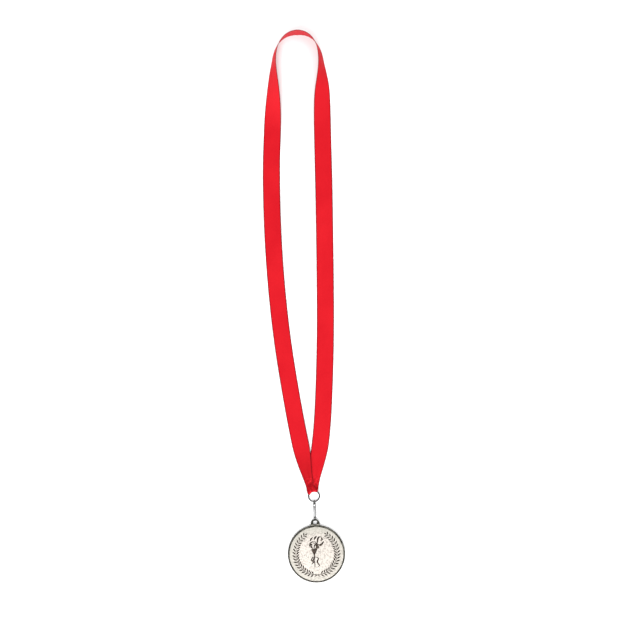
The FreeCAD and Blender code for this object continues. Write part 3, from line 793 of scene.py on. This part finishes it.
def clip_rivet(material):
    """The rivet: domed in front, flat behind the gate."""
    low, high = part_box("clip_rivet")
    head = (high.x - low.x) / 2
    centre = ((low.x + high.x) / 2, (low.y + high.y) / 2)
    dome = 0.35 * MM
    plate_top = high.z - dome
    shank = 0.45 * MM
    back_radius = 0.8 * MM
    back_top = low.z + 0.25 * MM
    profile = [(0.3 * MM, low.z), (0.72 * MM, low.z), (0.78 * MM, low.z + 0.03 * MM),
               (back_radius, low.z + 0.08 * MM), (back_radius, back_top), (shank, back_top),
               (shank, plate_top), (head, plate_top)]
    for angle in np.radians(np.linspace(8, 84, 9)):
        profile.append((head * math.cos(angle), plate_top + dome * math.sin(angle)))
    shell = Shell()
    lathe(shell, profile, centre, 48)
    rivet = shell.build("clip_rivet_head", material, "clip", 45.0)
    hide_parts("clip_rivet")


def clip_gate(material):
    """The spring leaf behind the plate."""
    low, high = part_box("clip_gate")
    half = 0.125 * MM
    flat_z = high.z - half
    end_z = low.z + half
    knee = 42.0 * MM
    flat = np.linspace((high.y, flat_z), (knee + 0.3 * MM, flat_z), 5)
    slope = np.linspace((knee - 0.3 * MM, flat_z - 0.02 * MM), (low.y, end_z), 24)
    path = np.concatenate([flat, slope])
    stations = [30.8, 31.15, 32.5, 42.0, 43.35]
    widths = np.interp(path[:, 0] / MM, stations, [1.1, 1.5, 1.7, 1.7, 1.5]) * MM
    shell = Shell()
    shell.add_grid(strip_sweep(path, widths, 2 * half, 0.06 * MM))
    gate = shell.build("clip_spring_leaf", material, "gate", 45.0)
    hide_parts("clip_gate")


# ---------------- medal


def medal_blank(rim_material, face_material):
    """The medal's edge and rim, and the fields of its two faces."""
    rounding = 0.5 * MM
    corner = MEDAL_RADIUS - rounding
    rim_inside = 23.9 * MM
    profile = [(FIELD_EDGE, BACK_FIELD_Z), (rim_inside, 0.0), (corner, 0.0)]
    profile += [(corner + rounding * math.sin(turn), rounding * (1 - math.cos(turn)))
                for turn in np.radians(np.linspace(15, 90, 6))]
    profile += [(corner + rounding * math.cos(turn),
                 MEDAL_TOP - rounding + rounding * math.sin(turn))
                for turn in np.radians(np.linspace(0, 90, 7))]
    profile += [(rim_inside + 0.15 * MM, MEDAL_TOP - 0.01 * MM),
                (rim_inside, MEDAL_TOP - 0.07 * MM),
                (FIELD_EDGE + 0.12 * MM, FIELD_Z + 0.04 * MM), (FIELD_EDGE, FIELD_Z)]
    rim = Shell()
    lathe(rim, profile, (0.0, 0.0), 256, close=False)
    rim.build("medal_rim", rim_material, "medal", 50.0)
    fields = Shell()
    radii = np.linspace(0.4 * MM, FIELD_EDGE + 0.02 * MM, 40)
    front = [(radius, float(field_height(radius))) for radius in radii[::-1]]
    back = [(radius, BACK_FIELD_Z) for radius in radii]
    lathe(fields, back + front, (0.0, 0.0), 192)
    field_piece = fields.build("medal_field", face_material, "medal", 50.0)
    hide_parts("medal_disc")


def field_height(radius):
    """Height of the front field, domed a little, at a distance from the medal's centre."""
    dome = 0.10 * MM
    share = np.clip(radius / FIELD_EDGE, 0, 1)
    return FIELD_Z + dome * np.cos(0.5 * math.pi * share) ** 2


def medal_bail(material):
    """The bail: a rounded eye that grows out of the rim, with the hook's hole."""
    hole_centre = np.array([0.0, 27.5 * MM])
    hole_radius = 1.85 * MM
    outer_centre_y = 26.4 * MM
    outer_radius = 3.9 * MM
    foot = 24.4 * MM
    half_height = 0.65 * MM
    rounding = 0.42 * MM
    nearly_zero = 1e-6
    offset = hole_centre - np.array([0.0, outer_centre_y])
    rings = []
    for angle in np.linspace(0, 2 * math.pi, 96, endpoint=False):
        heading = np.array([math.cos(angle), math.sin(angle)])
        inner = hole_centre + heading * hole_radius
        # the outside is the nearest of the arch, its straight sides and its foot
        along = float(offset @ heading)
        to_arc = -along + math.sqrt(along * along - float(offset @ offset) + outer_radius ** 2)
        reach = []
        if (hole_centre + heading * to_arc)[1] >= outer_centre_y:
            reach.append(to_arc)
        if abs(heading[0]) > nearly_zero:
            reach.append((math.copysign(outer_radius, heading[0]) - hole_centre[0]) / heading[0])
        if heading[1] < -nearly_zero:
            reach.append((foot - hole_centre[1]) / heading[1])
        outer = hole_centre + heading * min(reach)
        half = np.linalg.norm(outer - inner) / 2
        middle = (outer + inner) / 2
        outline = rounded_rectangle(half, half_height, min(rounding, half * 0.9), 5)
        rings.append([(*(middle + heading * out), MID_Z + up) for out, up in outline])
    shell = Shell()
    shell.add_grid(np.array(rings), close_rows=True)
    shell.build("medal_bail_eye", material, "medal", 60.0)


# Each stroke of the relief is a little hill with a profile across it. A narrow skirt round its
# foot is the blackening left in the corner, and its underside is closed below the field.
SKIRT = 0.07 * MM
SKIRT_Z = 0.008 * MM                     # these three are heights over the field
FOOT_Z = 0.012 * MM
ROOT_Z = -0.15 * MM
ROUND_PROFILE = np.array([(-1.0, 0.0), (-0.86, 0.55), (-0.5, 0.9), (0.0, 1.0), (0.5, 0.9),
                          (0.86, 0.55), (1.0, 0.0)])
VEINED_PROFILE = np.array([(-1.0, 0.0), (-0.8, 0.62), (-0.45, 0.95), (-0.14, 0.92), (0.0, 0.55),
                           (0.14, 0.92), (0.45, 0.95), (0.8, 0.62), (1.0, 0.0)])
LEAF_HEIGHT = 0.29                       # how high each hill rises from its foot, in mm
STEM_HEIGHT = 0.21
HANDLE_HEIGHT = 0.21
CUP_HEIGHT = 0.23
BAND_HEIGHT = 0.25
FLAME_HEIGHT = 0.27
STREAMER_HEIGHT = 0.22


def raised_stroke(shell, line, half_widths, height, profile=ROUND_PROFILE):
    """A raised line of relief on the front field, all in mm; its ends taper with its width."""
    line = np.asarray(line, float) * MM
    half_widths = np.asarray(half_widths, float) * MM
    direction = unit(np.gradient(line, axis=0))
    side = np.stack([direction[:, 1], -direction[:, 0]], axis=1)
    field = field_height(np.linalg.norm(line, axis=1))
    broadest = half_widths.max()
    rows = []
    for point, across, width, level in zip(line, side, half_widths, field):
        swell = height * MM * min(1.0, (width / broadest) ** 0.5)
        row = [(*(point + across * width * place), level + FOOT_Z + swell * rise)
               for place, rise in profile]
        skirt = width + min(SKIRT, width)
        root = width * 0.9
        for reach, z in ((skirt, SKIRT_Z), (root, ROOT_Z), (-root, ROOT_Z), (-skirt, SKIRT_Z)):
            row.append((*(point + across * reach), level + z))
        rows.append(row)
    shell.add_grid(np.array(rows))


def tapered(count, width, blunt):
    """Half-widths along a stroke that is pointed at both ends, down to a blunt share of width."""
    shape = np.sin(math.pi * np.linspace(0, 1, count)) ** 0.75
    return width * np.maximum(shape, blunt)


def leaf(shell, start, heading, length, width, curl):
    """One laurel leaf: a veined blade that bends a little along its length."""
    share = np.linspace(0, 1, 11)
    angle = (heading + curl * (share - 0.5))[:-1]
    steps = np.stack([np.cos(angle), np.sin(angle)], axis=1) * length / len(angle)
    line = np.array(start) + np.vstack([[0.0, 0.0], np.cumsum(steps, axis=0)])
    shape = np.sin(math.pi * share ** 0.85) ** 0.8
    raised_stroke(shell, line, np.maximum(width * shape, 0.05), LEAF_HEIGHT, VEINED_PROFILE)


def stem_radius(degrees):
    """A stem's distance from the centre, in mm: it opens outwards towards its top end."""
    return float(np.interp(degrees, [112.0, 130.0, 165.0], [19.9, 18.8, 18.0]))


def mirrored_place(degrees, radius, mirror):
    """Angle, in radians, and place on the left, or on the right where mirror is -1."""
    angle = math.radians(degrees)
    if mirror == -1:
        angle = math.pi - angle
    return angle, (radius * math.cos(angle), radius * math.sin(angle))


def wreath(shell):
    """Two laurel branches that cross at the bottom and open at the top."""
    pairs = 18
    step = 8.0                           # from a pair of leaves to the next, in degrees
    lowest = 259.0
    highest = lowest - step * (pairs - 1)
    splay = 47.0                         # between a leaf and its stem, in degrees
    length, half_width, curl = 3.6, 0.56, 0.25
    for mirror in (1, -1):
        forward = -mirror
        for pair in range(pairs):
            degrees = lowest - step * pair
            growth = 1.0 - 0.15 * abs(2 * pair / (pairs - 1) - 0.8)
            for side in (-1, 1):
                base = stem_radius(degrees) + side * 0.5
                polar, start = mirrored_place(degrees, base, mirror)
                heading = polar + forward * math.radians(90 - side * splay)
                leaf(shell, start, heading, length * growth, half_width * growth,
                     -forward * side * curl)
        polar, start = mirrored_place(highest - 0.4 * step, stem_radius(highest), mirror)
        leaf(shell, start, polar + forward * math.radians(86), 2.8, 0.40, 0.0)
        stem = [mirrored_place(degrees, stem_radius(degrees), mirror)[1]
                for degrees in np.linspace(116.0, 260.0, 60)]
        tail = smooth_line([stem[-1], (mirror * -0.6, -18.1), (mirror * 2.5, -19.4)], 6)
        line = np.concatenate([stem, tail[1:]])
        raised_stroke(shell, line, np.linspace(0.10, 0.22, len(line)), STEM_HEIGHT)


def torch(shell):
    """The torch: fluted cup, handle, flames and a tied streamer."""
    axis = -1.8
    handle = np.linspace((axis, -11.8), (axis, 0.7), 16)
    widths = np.interp(handle[:, 1], [-11.8, -11, -3, -1.8, 0.7], [0.2, 0.3, 0.26, 0.48, 0.8])
    raised_stroke(shell, handle, widths, HANDLE_HEIGHT)
    cup = np.linspace((axis, 0.4), (axis, 4.2), 11)
    widths = np.interp(cup[:, 1], [0.4, 0.8, 1.6, 2.6, 4.2], [0.75, 1.0, 1.6, 2.05, 2.45])
    raised_stroke(shell, cup, widths, CUP_HEIGHT)
    for level, half in ((4.25, 2.55), (0.45, 0.95), (3.3, 2.15)):
        band = np.linspace((axis - half, level), (axis + half, level), 9)
        raised_stroke(shell, band, np.full(9, 0.22), BAND_HEIGHT)
    flames = [                           # each a few points on its line and a half-width
        ([(-5.6, 11.4), (-4.8, 13.2), (-3.3, 14.9)], 0.56),
        ([(-1.9, 12.6), (-1.3, 14.3), (0.3, 15.9)], 0.62),
        ([(0.6, 9.8), (1.0, 12.4), (1.6, 14.2), (3.3, 15.2)], 0.66),
        ([(3.4, 11.5), (4.9, 12.6), (3.8, 14.8)], 0.54),
        ([(-1.5, 4.6), (1.3, 5.6), (0.4, 8.6), (1.4, 11.6)], 0.62),
        ([(0.8, 8.6), (3.2, 7.7), (5.1, 9.0), (6.5, 11.0)], 0.72),
        ([(-1.9, 4.6), (-1.6, 7.4), (-0.2, 8.8), (-1.6, 11.6)], 0.46),
        ([(-6.1, 6.6), (-5.6, 9.3), (-3.9, 10.6), (-1.6, 10.7)], 0.46),
        ([(-5.4, 6.0), (-4.9, 8.3), (-3.1, 8.9)], 0.38),
        ([(-2.6, 4.6), (-4.2, 6.2), (-3.9, 8.2)], 0.48),
        ([(-0.8, 4.6), (0.0, 6.2), (-0.7, 8.4), (-2.6, 9.7)], 0.38),
        ([(0.0, 4.6), (1.9, 5.6), (1.7, 7.2)], 0.42),
    ]
    cup_top, lean = 4.5, 0.065
    for control, width in flames:
        line = smooth_line(control, 8)
        line[:, 0] += lean * (line[:, 1] - cup_top)
        raised_stroke(shell, line, tapered(len(line), width * 1.12, 0.3), FLAME_HEIGHT)
    streamers = [
        ([(-1.8, -2.3), (-3.4, -2.9), (-4.6, -4.9), (-3.7, -6.0), (-2.5, -4.7),
          (-1.9, -2.9)], 0.46),
        ([(-2.1, -2.8), (-3.3, -5.6), (-2.9, -6.8), (-4.5, -8.6)], 0.66),
        ([(-1.4, -2.4), (0.8, -3.0), (1.4, -4.5), (0.5, -6.3), (1.1, -8.3), (2.2, -10.0),
          (1.1, -11.2)], 0.56),
    ]
    for control, width in streamers:
        line = smooth_line(control, 8)
        raised_stroke(shell, line, tapered(len(line), width, 0.35), STREAMER_HEIGHT)


def medal_relief(material):
    """The raised design on the medal's front."""
    shell = Shell()
    wreath(shell)
    torch(shell)
    shell.build("medal_relief", material, "medal", 55.0)


# ---------------- stage, light and camera

CAMERA_PLACE = (0.0052, 0.2116, 0.760)   # straight above the middle of the picture
CAMERA_TURN = math.radians(-2.47)        # the object lies turned this much in the picture


def stage():
    """A white floor just under the medal."""
    mesh = bpy.data.meshes.new("floor")
    reach = 3.0
    low = -0.15 * MM
    corners = [(-reach, -reach), (reach, -reach), (reach, reach), (-reach, reach)]
    mesh.from_pydata([(x, y, low) for x, y in corners], [], [(0, 1, 2, 3)])
    mesh.materials.append(floor_material())
    floor = add_object("floor", mesh)


def area_light(name, place, target, width, height, power):
    """A soft rectangular light aimed at a point."""
    data = bpy.data.lights.new(name, "AREA")
    data.shape = "RECTANGLE"
    data.size = width
    data.size_y = height
    data.energy = power
    lamp = add_object(name, data)
    lamp.location = place
    lamp.rotation_euler = (Vector(target) - Vector(place)).to_track_quat("-Z", "Y").to_euler()


def lighting():
    """High-key studio light that burns the floor out to white.

    The key light stands beyond the picture's lower edge, a little to the left, and the fill light
    on its right. The sky is brightest overhead."""
    middle = (0.0, 0.2, 0.0)
    area_light("key_light", (-0.45, -1.2, 1.75), middle, 1.1, 1.1, 54.0)
    area_light("fill_light", (1.4, 0.5, 1.6), middle, 1.6, 1.6, 18.0)
    world = bpy.data.worlds.new("studio")
    world.use_nodes = True
    nodes = world.node_tree.nodes
    links = world.node_tree.links
    background = nodes["Background"]
    background.inputs["Strength"].default_value = 1.0
    heading = nodes.new("ShaderNodeTexCoord")
    parts = nodes.new("ShaderNodeSeparateXYZ")
    sky = nodes.new("ShaderNodeValToRGB")
    level, overhead = sky.color_ramp.elements
    level.position, level.color = 0.10, (1.00, 1.00, 1.01, 1)
    overhead.position, overhead.color = 0.75, (1.40, 1.40, 1.40, 1)
    links.new(heading.outputs["Generated"], parts.inputs["Vector"])
    links.new(parts.outputs["Z"], sky.inputs["Fac"])
    links.new(sky.outputs["Color"], background.inputs["Color"])
    bpy.context.scene.world = world
    bpy.context.scene.view_settings.view_transform = "Standard"


def camera():
    """Looks straight down, with the object's turn in the picture."""
    data = bpy.data.cameras.new("camera")
    data.lens = 50.0
    data.sensor_width = 36.0
    made = add_object("camera", data)
    made.location = CAMERA_PLACE
    made.rotation_euler = (0.0, 0.0, CAMERA_TURN)
    bpy.context.scene.camera = made


# ---------------- the scene

camera()
lighting()
stage()

# rim and relief: blackened plating whose dark colour is also a painted reflection; the rim's last
# colour is a painted highlight
dark_rim = antique_reflection_material("medal_rim_antique_reflection", (0.014, 0.014, 0.011), (0.09, 0.086, 0.074),
                            (0.30, 0.29, 0.26))
dark_relief = antique_reflection_material("medal_relief_antique_reflection", (0.012, 0.009, 0.007),
                               (0.065, 0.052, 0.042))
clip_steel = clip_material()
spring_steel = steel_material("spring_steel", (0.40, 0.40, 0.41), 0.26, (9000, 500, 9000))
# the ring's near-black colour is partly a painted reflection of dark surroundings
ring_steel = steel_material("ring_dark_nickel_reflection", (0.014, 0.014, 0.013), 0.28, (1500, 1500, 9000),
                            EDGE_REFLECTION_DIMMED)
rivet_steel = steel_material("rivet_bright_steel", (0.45, 0.45, 0.45), 0.25, (3000, 3000, 3000))

ribbon, ribbon_line, ribbon_top, fold_count = neck_ribbon()
tack = stitching(ribbon_top, fold_count, thread_material())

ribbon_ring(ring_steel)
clip_hook(clip_steel)
clip_rivet(rivet_steel)
clip_gate(spring_steel)
medal_blank(dark_rim, field_material())
medal_bail(bail_material())
medal_relief(dark_relief)
